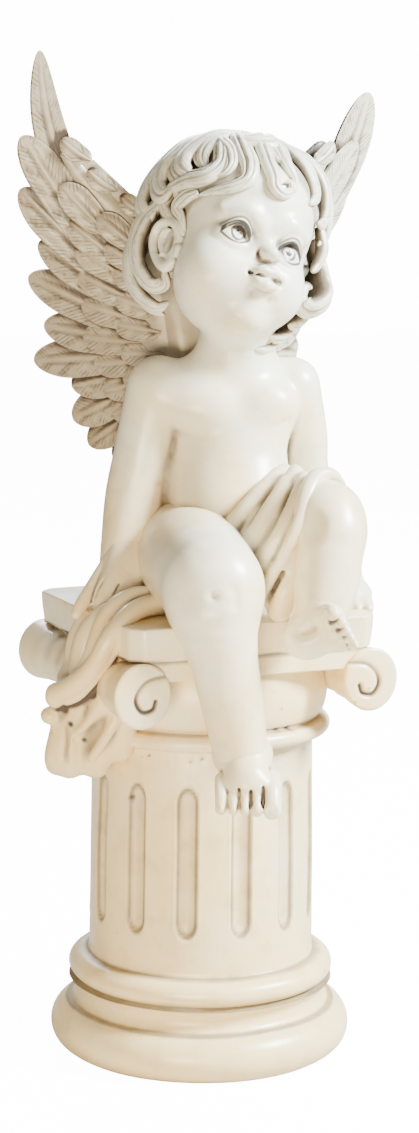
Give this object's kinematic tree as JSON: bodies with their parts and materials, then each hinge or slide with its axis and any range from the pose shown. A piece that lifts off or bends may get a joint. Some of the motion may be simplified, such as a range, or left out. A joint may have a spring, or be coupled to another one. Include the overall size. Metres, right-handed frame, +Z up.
{
  "type": "cherub statue",
  "caption": "Cast resin cherub with raised wings, sitting on a short fluted Ionic column with a round base, in antique ivory.",
  "frame": {"origin": "centre of the round base's underside", "axes": "+Z up; the capital's sides lie along X and Y, with its front towards -Y"},
  "size_m": [0.1657, 0.1526, 0.4017],
  "materials": {
    "ivory_resin": "satin cast resin in antique ivory, with a brown wash left in the carving"
  },
  "bodies": {
    "root": {"cherub_statue": "ivory_resin"}
  },
  "joints": []
}
